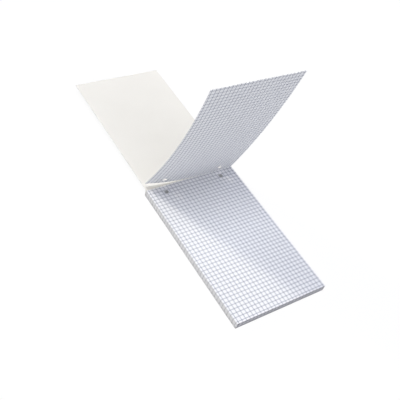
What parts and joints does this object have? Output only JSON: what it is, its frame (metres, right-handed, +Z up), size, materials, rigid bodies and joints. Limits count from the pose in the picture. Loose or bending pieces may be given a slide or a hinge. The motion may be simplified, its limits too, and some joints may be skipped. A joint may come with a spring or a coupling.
{
  "type": "pack of index cards",
  "caption": "Head-glued pad of squared, punched index cards with a wrap-round card cover; the front cover is folded back and the top card stands lifted.",
  "frame": {"origin": "centre of the pad's underside, as it lies on a table", "axes": "+X across the pad, +Y from foot to head, which is the glued and hinged edge, +Z up out of the cards' face"},
  "size_m": [0.1273, 0.3989, 0.2054],
  "materials": {
    "card_block": "smooth white card with fine blue-grey 5 mm squares",
    "lifted_card": "smooth white card with fine blue-grey 5 mm squares on both sides",
    "glue": "dried cream padding glue, slightly shiny",
    "cover_card": "matt off-white cover card"
  },
  "bodies": {
    "pad": {"card_block": "card_block", "lifted_card": "lifted_card", "glue_strip": "glue", "back_cover": "cover_card"},
    "cover": {"front_cover": "cover_card"}
  },
  "joints": [
    {"name": "cover_hinge", "type": "hinge", "parent": "pad", "child": "cover", "pos_m": [0, 0.1013, 0.0089], "axis": [1, 0, 0], "range_deg": [-90, 47]}
  ]
}
